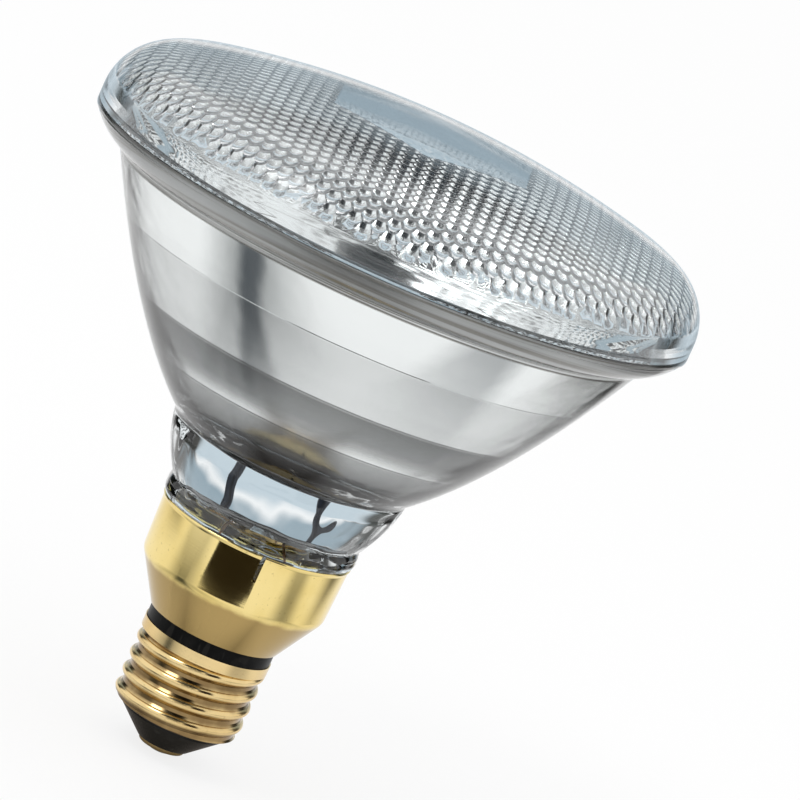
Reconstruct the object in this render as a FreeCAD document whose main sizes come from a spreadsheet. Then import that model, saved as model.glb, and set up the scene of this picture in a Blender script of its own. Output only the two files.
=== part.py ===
import FreeCAD, Part
import math
import os
import re
import Sketcher

# Pressed-glass reflector lamp on a skirted Edison screw cap. Millimetres and degrees.
# The lamp's axis is Z. The origin lies under the centre contact, and the lens is on top.

os.makedirs("parts", exist_ok=True)

# Driving sizes: radii, lengths along the axis, walls, clearances, counts and angles.
SIZES = {
    # centre contact and its solder
    "solder_drop": 0.9,
    "solder_flat": 1.5,
    "solder_radius": 3.2,
    "contact_radius": 4.75,
    "contact_thickness": 1.0,
    "contact_barrel": 1.8,
    "contact_wall": 0.4,
    # black base insulator
    "insulator_foot_radius": 5.4,
    "insulator_cone": 5.6,
    "insulator_step": 0.5,
    "insulator_plug": 4.5,
    # screw shell with its round thread
    "thread_crest": 13.1,
    "thread_root": 12.13,
    "thread_pitch": 3.629,
    "thread_round": 1.025,
    "thread_flank_half": 0.943,
    "thread_gap": 0.11,
    "thread_lead_in": 3.4,
    "shell_length": 17.1,
    "shell_wall": 0.35,
    "collar_radius": 13.15,
    "collar_height": 2.7,
    "collar_bevel": 0.5,
    "foot_radius": 11.4,
    "foot_curl": 2.2,
    # black ring between shell and skirt
    "ring_radius": 12.95,
    "ring_height": 2.8,
    "ring_wall": 3.45,
    "ring_spigot": 1.6,
    "ring_seat": 0.8,
    # brass skirt
    "skirt_wall": 0.4,
    "skirt_foot_radius": 13.4,
    "skirt_cone": 9.6,
    "skirt_side": 11.9,
    "skirt_radius": 19.45,
    "skirt_taper": 0.4,
    "skirt_corner": 3.0,
    "skirt_lip": 0.25,
    "slot_width": 0.8,
    "slot_depth": 5.6,
    "slot_count": 3,
    "slot_turn": 10,
    # clear neck of the reflector
    "neck_depth": 8.4,
    "neck_wall": 3.3,
    "neck_edge": 1.0,
    "neck_round": 2.5,
    "neck_height": 12.6,
    "neck_bulge": 30.0,
    "bead_height": 3.7,
    "bead_radius": 20.0,
    "bead_waist": 19.55,
    "floor_thickness": 5.2,
    "post_hole": 1.6,
    # reflecting bowl: a paraboloid in four bands
    "vertex_rise": 5.5,
    "glass_rise": 6.0,
    "band_one": 11.9,
    "band_two": 9.1,
    "band_three": 12.1,
    "band_four": 10.4,
    "band_step": 0.5,
    # flange where bowl and lens are fused together
    "rim_radius": 61.4,
    "flange_reach": 6.75,
    "flange_rise": 5.0,
    "flange_foot": 1.4,
    "flange_chamfer": 0.5,
    "flange_band": 1.2,
    # lens
    "lens_side": 1.9,
    "lens_knuckle": 11.5,
    "lens_crown": 208.7,
    "lens_wall": 4.0,
    "rib_pitch": 2.4,
    "rib_depth": 0.55,
    "rib_margin": 6.2,
    "hexagon_radius": 22.5,
    # filament and the posts and ferrules that carry it
    "mount_turn": 40,
    "post_radius": 0.75,
    "post_head": 1.2,
    "post_flat": 0.45,
    "post_flat_length": 3.0,
    "ferrule_gap": 0.93,
    "ferrule_depth": 5.4,
    "ferrule_wall": 0.4,
    "ferrule_round": 2.0,
    "coil_radius": 1.1,
    "coil_wire": 0.2,
    "coil_pitch": 0.9,
    "coil_turns": 9,
    "leg_overhang": 0.5,
    # exhaust tube
    "exhaust_radius": 2.5,
    "exhaust_wall": 0.9,
    "exhaust_length": 7.0,
    "exhaust_tip": 2.5,
    # lead wires, sleeve and side solder
    "wire_radius": 0.4,
    "wire_bend": 5.0,
    "wire_passage": 1.87,
    "wire_drop": 2.5,
    "wire_shift_length": 12.0,
    "side_bend": 2.5,
    "sleeve_wall": 0.4,
    "sleeve_length": 9.0,
    "side_solder_radius": 1.3,
    "side_solder_height": 0.8,
    # clearances between curved faces
    "seat_gap": 0.05,
    "neck_gap": 0.2,
}

# Levels and radii that follow from the driving sizes.
LEVELS = {
    "solder_bend": "((solder_radius - solder_flat)^2 / solder_drop + solder_drop) / 2",
    "contact_top": "solder_drop + contact_thickness",
    "barrel_radius": "core_bore + contact_wall",
    "barrel_top": "contact_top + contact_barrel",
    "core_bore": "wire_radius + seat_gap",
    "shell_foot": "contact_top + insulator_cone",
    "shell_top": "shell_foot + shell_length",
    "collar_foot": "shell_top - collar_height",
    "collar_bore": "collar_radius - shell_wall",
    "bore_radius": "thread_root - shell_wall",
    "plug_radius": "bore_radius - seat_gap",
    "thread_flank_drop": "thread_round - sqrt(thread_round^2 - thread_flank_half^2)",
    "thread_ridge_half": "thread_pitch / 2 - thread_gap",
    "side_level": "shell_top - ring_seat - wire_radius - neck_gap",
    "ring_bore": "ring_radius - ring_wall",
    "side_run": "ring_bore - wire_passage",
    "skirt_foot": "shell_top + ring_height",
    "skirt_knee": "skirt_foot + skirt_cone",
    "skirt_top": "skirt_knee + skirt_side",
    "skirt_low_radius": "skirt_radius - skirt_taper",
    "skirt_hole": "skirt_foot_radius - skirt_wall * 2",
    "skirt_rise": "skirt_low_radius - skirt_foot_radius",
    "skirt_slope": "sqrt(skirt_rise^2 + skirt_cone^2)",
    "knee_cut": "skirt_corner * skirt_rise / (skirt_slope + skirt_cone)",
    "knee_radius": "skirt_low_radius - skirt_rise * knee_cut / skirt_slope",
    "knee_level": "skirt_knee - skirt_cone * knee_cut / skirt_slope",
    "cone_inset": "skirt_wall * skirt_slope / skirt_cone",
    "neck_radius": "skirt_radius - skirt_wall - neck_gap",
    "neck_low_radius": "neck_radius - skirt_taper * neck_depth / skirt_side",
    "neck_bore": "neck_low_radius - neck_wall",
    "neck_foot": "skirt_top - neck_depth",
    "waist_level": "skirt_top + bead_height",
    "shoulder": "waist_level + neck_height",
    "outer_vertex": "skirt_top + vertex_rise",
    "inner_vertex": "outer_vertex + glass_rise",
    "floor_foot": "inner_vertex - floor_thickness",
    "focal_length": "(rim_radius - flange_reach)^2 / (4 * (flange_level - outer_vertex))",
    "focus": "inner_vertex + focal_length",
    "edge_one": "shoulder + band_one",
    "edge_two": "edge_one + band_two",
    "edge_three": "edge_two + band_three",
    "flange_level": "edge_three + band_four",
    "flange_low": "flange_level + flange_rise",
    "seam": "flange_low + flange_band",
    "knuckle_level": "seam + lens_side",
    "knuckle_axis": "rim_radius - lens_knuckle",
    "crown_centre": "knuckle_level - sqrt((lens_crown - lens_knuckle)^2 - knuckle_axis^2)",
    "crown_share": "lens_crown / (lens_crown - lens_knuckle)",
    "lens_apex": "crown_centre + lens_crown",
    "inner_crown": "lens_crown - lens_wall",
    "buried_crown": "inner_crown + lens_wall / 4",
    "lens_bore": "rim_radius - lens_wall",
    "lens_corner": "lens_knuckle - lens_wall",
    "corner_axis": "lens_bore - lens_corner",
    "corner_level": "crown_centre + sqrt((inner_crown - lens_corner)^2 - corner_axis^2)",
    "corner_share": "inner_crown / (inner_crown - lens_corner)",
    "rib_field": "lens_bore - rib_margin",
    "rib_bend": "rib_pitch^2 / 8 / rib_depth + rib_depth / 2",
    "ferrule_radius": "(neck_bore - neck_round - exhaust_radius) / 2 - ferrule_gap",
    "post_spread": "exhaust_radius + ferrule_gap + ferrule_radius",
    "ferrule_foot": "floor_foot - ferrule_depth",
    "ferrule_floor": "ferrule_foot + ferrule_wall",
    "coil_half": "coil_turns * coil_pitch / 2",
    "leg_level": "focus + coil_radius",
    "leg_end": "post_spread + post_radius + leg_overhang",
    "post_end": "leg_level + post_head",
    "exhaust_bore": "exhaust_radius - exhaust_wall",
    "exhaust_foot": "floor_foot - exhaust_length",
    "bend_top": "ferrule_foot - wire_drop",
    "bend_end": "bend_top - wire_shift_length",
}


def expand(text):
    """Turn a formula in plain names into an expression on the sheet's cells."""
    def swap(match):
        word = match.group(0)
        if word in SIZES:
            return "Sizes." + word
        if word in LEVELS:
            return "(" + expand(LEVELS[word]) + ")"
        return word
    return re.sub(r"[a-z]\w+", swap, text)


def number(text):
    """The present value of a formula in plain names."""
    found = sheet.evalExpression(expand(text))
    return float(getattr(found, "Value", found))


def bowl(level, vertex):
    """Formula for the paraboloid's radius at a level above its vertex."""
    return "sqrt(4 * focal_length * (%s - %s))" % (level, vertex)


def bowl_bend(low, high, vertex):
    """Formula for the paraboloid's radius of curvature half way between two levels."""
    return "2 * focal_length * (1 + ((%s + %s) / 2 - %s) / focal_length)^1.5" % (low, high, vertex)


doc = FreeCAD.newDocument("ReflectorLamp")
sheet = doc.addObject("Spreadsheet::Sheet", "Sizes")
for row, (name, size) in enumerate(SIZES.items(), 1):
    sheet.set("A%d" % row, name)
    sheet.set("B%d" % row, str(size))
    sheet.setAlias("B%d" % row, name)
doc.recompute()


def bind(thing, **formulas):
    """Tie properties to formulas. A double underscore stands for the dot in a path."""
    for path, text in formulas.items():
        thing.setExpression(path.replace("__", "."), expand(text))


def turn_about_axis(thing, angle):
    """Turn a piece about the lamp's axis by one of the driving angles."""
    axis = FreeCAD.Vector(0, 0, 1)
    thing.Placement = FreeCAD.Placement(FreeCAD.Vector(0, 0, 0), FreeCAD.Rotation(axis, number(angle)))
    bind(thing, Placement__Rotation__Angle=angle)


def new_body(label):
    body = doc.addObject("PartDesign::Body", label)
    body.Label = label
    return body


def origin_item(body, role):
    """One of the body's own origin planes or axes, by role."""
    return next(item for item in body.Origin.OriginFeatures if item.Role == role)


def new_sketch(body, plane, name):
    sketch = body.newObject("Sketcher::SketchObject", name)
    sketch.AttachmentSupport = [(origin_item(body, plane), "")]
    sketch.MapMode = "FlatFace"
    return sketch


def tie_size(sketch, kind, places, text):
    """Add a dimension whose value follows a formula."""
    size = number(text)
    if size < 0:
        places = places[2:] + places[:2]
        text = "-(%s)" % text
    index = sketch.addConstraint(Sketcher.Constraint(kind, *places, abs(size)))
    sketch.setExpression("Constraints[%d]" % index, expand(text))


def tie_point(sketch, geometry, end, across, along):
    """Tie one end of a curve to the formulas of its two coordinates."""
    for kind, axis, text in (("DistanceX", -2, across), ("DistanceY", -1, along)):
        if text == "0":
            sketch.addConstraint(Sketcher.Constraint("PointOnObject", geometry, end, axis))
        else:
            tie_size(sketch, kind, [-1, 1, geometry, end], text)


def arc_between(start, end, radius, clockwise):
    """The shorter arc from one point to another, and the ends that it starts and stops at."""
    run = end - start
    rise = math.sqrt(max(radius ** 2 - (run.Length / 2) ** 2, 0))
    side = FreeCAD.Vector(-run.y, run.x, 0).normalize() * (-rise if clockwise else rise)
    centre = (start + end) * 0.5 + side
    first, last = (end, start) if clockwise else (start, end)
    angles = [math.atan2(point.y - centre.y, point.x - centre.x) for point in (first, last)]
    arc = Part.ArcOfCircle(Part.Circle(centre, FreeCAD.Vector(0, 0, 1), radius), *angles)
    return arc, (2, 1) if clockwise else (1, 2)


def draw(sketch, corners, closed=True):
    """Draw an outline through corners. A corner is (across, along), and a third entry makes the run
    that arrives there an arc of that radius, with a minus sign where it turns clockwise."""
    points = [FreeCAD.Vector(number(corner[0]), number(corner[1]), 0) for corner in corners]
    runs = []
    for index in range(0 if closed else 1, len(corners)):
        start, end = points[index - 1], points[index]
        if len(corners[index]) == 2:
            edge = sketch.addGeometry(Part.LineSegment(start, end), False)
            runs.append((edge, 1, 2))
        else:
            clockwise = corners[index][2].startswith("-")
            bend = corners[index][2].lstrip("-")
            arc, ends = arc_between(start, end, number(bend), clockwise)
            edge = sketch.addGeometry(arc, False)
            tie_size(sketch, "Radius", [edge], bend)
            runs.append((edge, *ends))
    for before, after in zip(runs, runs[1:] + runs[:1] if closed else runs[1:]):
        sketch.addConstraint(Sketcher.Constraint("Coincident", before[0], before[2], after[0], after[1]))
    if not closed:
        tie_point(sketch, runs[0][0], runs[0][1], *corners[0][:2])
        corners = corners[1:]
    for (edge, _, end), corner in zip(runs, corners):
        tie_point(sketch, edge, end, corner[0], corner[1])


def draw_circle(sketch, across, along, radius):
    centre = FreeCAD.Vector(number(across), number(along), 0)
    edge = sketch.addGeometry(Part.Circle(centre, FreeCAD.Vector(0, 0, 1), number(radius)), False)
    tie_size(sketch, "Radius", [edge], radius)
    tie_point(sketch, edge, 3, across, along)


def add_feature(body, kind, name, sketch):
    feature = body.newObject("PartDesign::" + kind, name)
    feature.Profile = sketch
    return feature


def turned(body, corners, name="Turning", kind="Revolution"):
    """Revolve an outline of radii and levels about the lamp's axis."""
    sketch = new_sketch(body, "XZ_Plane", name + "Outline")
    draw(sketch, corners)
    feature = add_feature(body, kind, name, sketch)
    feature.ReferenceAxis = (sketch, ["V_Axis"])
    feature.Angle = 360


def turned_about(body, line, outlines, name="Turning", kind="Revolution"):
    """Revolve outlines about a line of their own, given by its two ends."""
    sketch = new_sketch(body, "XZ_Plane", name + "Outline")
    ends = [FreeCAD.Vector(number(across), number(along), 0) for across, along in line]
    axis = sketch.addGeometry(Part.LineSegment(*ends), True)
    tie_point(sketch, axis, 1, *line[0])
    tie_point(sketch, axis, 2, *line[1])
    for corners in outlines:
        draw(sketch, corners)
    feature = add_feature(body, kind, name, sketch)
    feature.ReferenceAxis = (sketch, ["Axis0"])
    feature.Angle = 360
    return feature


# Solder drop under the eyelet, with the small flat that the lamp stands on

def build_centre_solder():
    body = new_body("centre_solder")
    turned(body, [
        ("0", "0"),
        ("solder_flat", "0"),
        ("solder_radius", "solder_drop", "solder_bend"),
        ("0", "solder_drop"),
    ])
    return body


# Centre contact: a brass eyelet with a short barrel in the insulator

def build_centre_contact():
    body = new_body("centre_contact")
    turned(body, [
        ("core_bore", "solder_drop"),
        ("contact_radius - contact_thickness / 2", "solder_drop"),
        ("contact_radius", "solder_drop + contact_thickness / 2", "contact_thickness / 2"),
        ("contact_radius", "contact_top"),
        ("barrel_radius", "contact_top"),
        ("barrel_radius", "barrel_top"),
        ("core_bore", "barrel_top"),
    ])
    return body


# Base insulator: a black cone whose plug fills the shell's lower end

def build_base_insulator():
    body = new_body("base_insulator")
    turned(body, [
        ("barrel_radius + seat_gap", "contact_top"),
        ("insulator_foot_radius", "contact_top"),
        ("foot_radius - insulator_step", "shell_foot - insulator_step"),
        ("foot_radius - shell_wall - seat_gap", "shell_foot"),
        ("foot_radius - shell_wall - seat_gap", "shell_foot + shell_wall"),
        ("plug_radius", "shell_foot + foot_curl + seat_gap"),
        ("plug_radius", "shell_foot + insulator_plug"),
        ("plug_radius / 2", "shell_foot + insulator_plug - insulator_step"),
        ("core_bore", "shell_foot"),
        ("core_bore", "barrel_top + seat_gap"),
        ("barrel_radius + seat_gap", "barrel_top + seat_gap"),
    ])
    return body


# Screw shell: one brass sheet rolled to a round thread, curled in at the foot

def add_thread(body, kind, name, inset, core):
    """Sweep one round ridge of the thread along its helix, set in from the surface. The ridge's root
    goes on inwards as far as the core radius."""
    start = "(shell_foot - thread_lead_in)"
    flank = "(thread_crest - %s - thread_flank_drop)" % inset
    buried = "(thread_root - %s - shell_wall / 2)" % inset
    sketch = new_sketch(body, "XZ_Plane", name + "Outline")
    draw(sketch, [
        (core, start + " - thread_ridge_half"),
        (buried, start + " - thread_ridge_half"),
        (flank, start + " - thread_flank_half"),
        (flank, start + " + thread_flank_half", "thread_round"),
        (buried, start + " + thread_ridge_half"),
        (core, start + " + thread_ridge_half"),
    ])
    helix = add_feature(body, kind, name, sketch)
    helix.ReferenceAxis = (sketch, ["V_Axis"])
    helix.Mode = 0
    bind(helix, Pitch="thread_pitch",
         Height="collar_foot - shell_foot + thread_lead_in + thread_pitch / 4")


def build_screw_shell():
    body = new_body("screw_shell")
    turned(body, [
        ("0", "shell_foot"),
        ("thread_root", "shell_foot"),
        ("thread_root", "collar_foot"),
        ("collar_radius", "collar_foot + collar_bevel"),
        ("collar_radius", "shell_top"),
        ("0", "shell_top"),
    ], "Blank")
    add_thread(body, "AdditiveHelix", "Thread", "0", "bore_radius")
    beyond = "thread_crest + shell_wall * 5"
    below = "shell_foot - thread_lead_in - thread_pitch"
    turned(body, [
        ("0", "shell_foot"),
        ("foot_radius", "shell_foot"),
        ("thread_crest + shell_wall / 4", "shell_foot + foot_curl", "foot_curl * 1.15"),
        (beyond, "shell_foot + foot_curl"),
        (beyond, below),
        ("0", below),
    ], "FootCurl", "Groove")
    turned(body, [
        ("0", below),
        ("foot_radius - shell_wall", below),
        ("foot_radius - shell_wall", "shell_foot + shell_wall"),
        ("bore_radius", "shell_foot + foot_curl"),
        ("bore_radius", "collar_foot"),
        ("collar_bore", "collar_foot + collar_bevel"),
        ("collar_bore", "shell_top"),
        ("0", "shell_top"),
    ], "Bore", "Groove")
    add_thread(body, "SubtractiveHelix", "InnerThread", "shell_wall", "foot_radius - shell_wall * 2")
    sketch = new_sketch(body, "YZ_Plane", "WireHoleOutline")
    draw_circle(sketch, "0", "side_level", "core_bore")
    hole = add_feature(body, "Pocket", "WireHole", sketch)
    hole.Reversed = True
    bind(hole, Length="collar_radius + shell_wall")
    turn_about_axis(body, "mount_turn")
    return body


# Black ring: it keeps the skirt off the live shell, and a spigot holds it in each of them

def build_skirt_ring():
    body = new_body("skirt_ring")
    turned(body, [
        ("ring_bore", "shell_top - ring_seat"),
        ("collar_bore - seat_gap", "shell_top - ring_seat"),
        ("collar_bore - seat_gap", "shell_top"),
        ("ring_radius", "shell_top"),
        ("ring_radius", "skirt_foot"),
        ("skirt_hole - seat_gap", "skirt_foot"),
        ("skirt_hole - seat_gap", "skirt_foot + ring_spigot"),
        ("ring_bore", "skirt_foot + ring_spigot"),
    ])
    return body


# Skirt: spun brass, a cone below and an almost straight side with a thin lip and narrow slots

def build_skirt():
    body = new_body("skirt")
    turned(body, [
        ("skirt_hole", "skirt_foot"),
        ("skirt_foot_radius", "skirt_foot"),
        ("knee_radius", "knee_level"),
        ("skirt_low_radius", "skirt_knee + knee_cut", "skirt_corner"),
        ("skirt_radius", "skirt_top - skirt_lip * 3"),
        ("skirt_radius + skirt_lip", "skirt_top - skirt_lip * 1.5"),
        ("skirt_radius", "skirt_top", "skirt_lip * 1.6"),
        ("skirt_radius - skirt_wall", "skirt_top"),
        ("skirt_low_radius - skirt_wall", "skirt_knee + knee_cut"),
        ("knee_radius - cone_inset", "knee_level"),
        ("skirt_foot_radius - cone_inset", "skirt_foot + skirt_wall"),
        ("skirt_hole", "skirt_foot + skirt_wall"),
    ])
    sketch = new_sketch(body, "XZ_Plane", "SlotOutline")
    draw(sketch, [
        ("-slot_width / 2", "skirt_top - slot_depth"),
        ("slot_width / 2", "skirt_top - slot_depth"),
        ("slot_width / 2", "skirt_top + skirt_wall"),
        ("-slot_width / 2", "skirt_top + skirt_wall"),
    ])
    slot = add_feature(body, "Pocket", "Slot", sketch)
    slot.Reversed = True
    bind(slot, Length="skirt_radius + skirt_wall * 2")
    doc.recompute()
    pattern = body.newObject("PartDesign::PolarPattern", "Slots")
    pattern.Originals = [slot]
    pattern.Axis = (origin_item(body, "Z_Axis"), [""])
    pattern.Angle = 360
    bind(pattern, Occurrences="slot_count")
    body.Tip = pattern
    turn_about_axis(body, "slot_turn")
    return body


# Reflector: one pressed bowl with a flange, four stepped bands inside, a clear neck and its floor

def build_reflector():
    body = new_body("reflector")
    edges = ["shoulder", "edge_one", "edge_two", "edge_three", "flange_level"]
    corners = [
        ("0", "floor_foot"),
        ("neck_bore - neck_round", "floor_foot"),
        ("neck_bore", "floor_foot - neck_round", "-neck_round"),
        ("neck_bore", "neck_foot"),
        ("neck_low_radius - neck_edge", "neck_foot"),
        ("neck_low_radius", "neck_foot + neck_edge", "neck_edge"),
        ("neck_radius", "skirt_top"),
        ("bead_waist", "skirt_top"),
        ("bead_radius", "skirt_top + bead_height / 2", "bead_height * 0.6"),
        ("bead_waist", "waist_level", "bead_height * 0.8"),
        (bowl("shoulder", "outer_vertex"), "shoulder", "neck_bulge"),
    ]
    for low, high in zip(edges, edges[1:]):
        corners.append((bowl(high, "outer_vertex"), high, bowl_bend(low, high, "outer_vertex")))
    corners += [
        (bowl("flange_level", "outer_vertex") + " + flange_foot", "flange_level + flange_foot / 2"),
        ("rim_radius - flange_chamfer", "flange_low"),
        ("rim_radius", "flange_low + flange_chamfer"),
        ("rim_radius", "seam"),
        (bowl("seam", "inner_vertex"), "seam"),
    ]
    levels = ["seam"] + edges[3:0:-1]
    for high, low in zip(levels, levels[1:]):
        bend = "-" + bowl_bend(low, high, "inner_vertex")
        corners.append((bowl(low, "inner_vertex") + " - band_step", low, bend))
        corners.append((bowl(low, "inner_vertex"), low))
    corners.append((bowl("shoulder", "inner_vertex"), "shoulder",
                    "-" + bowl_bend("shoulder", "edge_one", "inner_vertex")))
    corners.append(("0", "inner_vertex", "-" + bowl_bend("inner_vertex", "shoulder", "inner_vertex")))
    turned(body, corners, "Bowl")
    sketch = new_sketch(body, "XY_Plane", "FloorHoleOutline")
    draw_circle(sketch, "post_spread", "0", "post_hole")
    draw_circle(sketch, "-post_spread", "0", "post_hole")
    draw_circle(sketch, "0", "0", "exhaust_bore")
    holes = add_feature(body, "Pocket", "FloorHoles", sketch)
    holes.Reversed = True
    bind(holes, Length="focus")
    turn_about_axis(body, "mount_turn")
    return body


# Lens: a pressed dome whose inner face has rows of ribs around a smooth hexagon

def build_lens_dome():
    body = new_body("lens_dome")
    knuckle_end = "crown_centre + (knuckle_level - crown_centre) * crown_share"
    corner_end = "crown_centre + (corner_level - crown_centre) * corner_share"
    turned(body, [
        ("lens_bore", "seam"),
        ("rim_radius", "seam"),
        ("rim_radius", "knuckle_level"),
        ("knuckle_axis * crown_share", knuckle_end, "lens_knuckle"),
        ("0", "lens_apex", "lens_crown"),
        ("0", "crown_centre + inner_crown"),
        ("corner_axis * corner_share", corner_end, "-inner_crown"),
        ("lens_bore", "corner_level", "-lens_corner"),
    ], "Dome")
    return body


def build_rib_sheet():
    """A scalloped sheet on the inner face, turned about a line across the lamp, so that its ribs
    run along the dome."""
    body = new_body("rib_sheet")
    half = math.ceil(number("rib_field / rib_pitch"))
    corners = []
    for index in range(-half, half + 1):
        across = "rib_pitch * %d" % index if index else "0"
        along = "crown_centre + sqrt(inner_crown^2 - (%s)^2)" % across
        corners.append((across, along, "rib_bend") if corners else (across, along))
    edge = "crown_centre + sqrt(buried_crown^2 - (rib_pitch * %d)^2)" % half
    corners.append(("rib_pitch * %d" % half, edge))
    corners.append(("-rib_pitch * %d" % half, edge, "buried_crown"))
    line = [("0", "crown_centre"), ("rib_pitch", "crown_centre")]
    rows = turned_about(body, line, [corners], "RibSheet")
    rows.Midplane = True
    bind(rows, Angle="2 * asin(lens_bore / inner_crown)")
    return body


def build_lens():
    dome = build_lens_dome()
    ribs = build_rib_sheet()
    field = doc.addObject("Part::Cylinder", "RibField")
    bind(field, Radius="rib_field", Height="lens_apex - seam", Placement__Base__z="seam")
    hexagon = doc.addObject("Part::Prism", "Hexagon")
    hexagon.Polygon = 6
    hexagon.Placement.Rotation = FreeCAD.Rotation(FreeCAD.Vector(0, 0, 1), 30)
    bind(hexagon, Circumradius="hexagon_radius", Height="lens_apex - seam", Placement__Base__z="seam")
    rib_area = doc.addObject("Part::Cut", "RibArea")
    rib_area.Base, rib_area.Tool = field, hexagon
    rib_rows = doc.addObject("Part::Common", "RibRows")
    rib_rows.Base, rib_rows.Tool = ribs, rib_area
    outer = doc.addObject("Part::Sphere", "PlateauTop")
    bind(outer, Radius="buried_crown", Placement__Base__z="crown_centre")
    inner = doc.addObject("Part::Sphere", "PlateauFace")
    bind(inner, Radius="inner_crown - rib_depth", Placement__Base__z="crown_centre")
    layer = doc.addObject("Part::Cut", "PlateauLayer")
    layer.Base, layer.Tool = outer, inner
    prism = doc.addObject("Part::Prism", "PlateauOutline")
    prism.Polygon = 6
    prism.Placement.Rotation = hexagon.Placement.Rotation
    bind(prism, Circumradius="hexagon_radius", Height="lens_apex - seam", Placement__Base__z="seam")
    plateau = doc.addObject("Part::Common", "Plateau")
    plateau.Base, plateau.Tool = prism, layer
    lens = doc.addObject("Part::MultiFuse", "lens")
    lens.Shapes = [dome, rib_rows, plateau]
    lens.Label = "lens"
    return lens


# Ferrules: metal cups sealed to the underside of the glass floor, around the post holes

def at_post(side, radius):
    """Formula for a place at a distance from one post's axis, on the side away from the lamp's axis."""
    return "%s * (post_spread + %s)" % (side, radius) if radius else "%s * post_spread" % side


def build_ferrule(label, side):
    body = new_body(label)
    line = [(at_post(side, ""), "ferrule_foot"), (at_post(side, ""), "floor_foot")]
    turn = "" if side == "1" else "-"
    back = "-" if side == "1" else ""
    inner_round = "ferrule_round - ferrule_wall"
    turned_about(body, line, [[
        (at_post(side, ""), "ferrule_foot"),
        (at_post(side, "ferrule_radius - ferrule_round"), "ferrule_foot"),
        (at_post(side, "ferrule_radius"), "ferrule_foot + ferrule_round", turn + "ferrule_round"),
        (at_post(side, "ferrule_radius"), "floor_foot"),
        (at_post(side, "ferrule_radius - ferrule_wall"), "floor_foot"),
        (at_post(side, "ferrule_radius - ferrule_wall"), "ferrule_foot + ferrule_round"),
        (at_post(side, "ferrule_radius - ferrule_round"), "ferrule_floor", back + "(" + inner_round + ")"),
        (at_post(side, ""), "ferrule_floor"),
    ]])
    turn_about_axis(body, "mount_turn")
    return body


# Posts: rods that stand in the ferrules, flattened at the top and pierced for the filament's leg

def build_post(label, side):
    body = new_body(label)
    line = [(at_post(side, ""), "ferrule_floor"), (at_post(side, ""), "post_end")]
    turned_about(body, line, [[
        (at_post(side, ""), "ferrule_floor"),
        (at_post(side, "post_radius"), "ferrule_floor"),
        (at_post(side, "post_radius"), "post_end"),
        (at_post(side, ""), "post_end"),
    ]], "Rod")
    sketch = new_sketch(body, "YZ_Plane", "HeadOutline")
    for sign in ("", "-"):
        draw(sketch, [
            (sign + "post_flat", "post_end - post_flat_length"),
            (sign + "post_radius * 2", "post_end - post_flat_length"),
            (sign + "post_radius * 2", "post_end + post_head"),
            (sign + "post_flat", "post_end + post_head"),
        ])
    draw_circle(sketch, "0", "leg_level", "coil_wire + seat_gap")
    head = add_feature(body, "Pocket", "Head", sketch)
    head.Midplane = True
    bind(head, Length="2 * leg_end")
    turn_about_axis(body, "mount_turn")
    return body


# Filament: a coil across the focus, with a straight leg through each post

def build_filament():
    body = new_body("filament")
    sketch = new_sketch(body, "XZ_Plane", "CoilOutline")
    middle, reach = (FreeCAD.Vector(number(across), number("focus"), 0) for across in ("0", "coil_half"))
    line = sketch.addGeometry(Part.LineSegment(middle, reach), True)
    tie_point(sketch, line, 1, "0", "focus")
    tie_point(sketch, line, 2, "coil_half", "focus")
    draw_circle(sketch, "-coil_half", "leg_level", "coil_wire")
    coil = add_feature(body, "AdditiveHelix", "Coil", sketch)
    coil.ReferenceAxis = (sketch, ["Axis0"])
    coil.Mode = 0
    bind(coil, Pitch="coil_pitch", Height="2 * coil_half")
    legs = []
    for sign in ("", "-"):
        legs.append([
            (sign + "(coil_half - coil_wire / 2)", "leg_level"),
            (sign + "leg_end", "leg_level"),
            (sign + "leg_end", "leg_level + coil_wire"),
            (sign + "(coil_half - coil_wire / 2)", "leg_level + coil_wire"),
        ])
    turned_about(body, [("0", "leg_level"), ("coil_half", "leg_level")], legs, "Legs")
    turn_about_axis(body, "mount_turn")
    return body


# Exhaust tube: glass, fused under the floor and drawn to a closed tip

def build_exhaust_tube():
    body = new_body("exhaust_tube")
    turned(body, [
        ("0", "exhaust_foot"),
        ("exhaust_radius", "exhaust_foot + exhaust_tip", "exhaust_radius * 1.15"),
        ("exhaust_radius", "floor_foot"),
        ("exhaust_bore", "floor_foot"),
        ("exhaust_bore", "exhaust_foot + exhaust_tip"),
        ("0", "exhaust_foot + exhaust_wall", "-exhaust_bore * 1.15"),
    ])
    return body


# Lead wires from the ferrules to the centre contact and to the shell

def sweep_wire(body, plane_level, start, path):
    profile = new_sketch(body, "XY_Plane", "WireSection")
    bind(profile, AttachmentOffset__Base__z=plane_level)
    draw_circle(profile, start, "0", "wire_radius")
    pipe = add_feature(body, "AdditivePipe", "Wire", profile)
    pipe.Spine = (path, [""])
    return pipe


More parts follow.
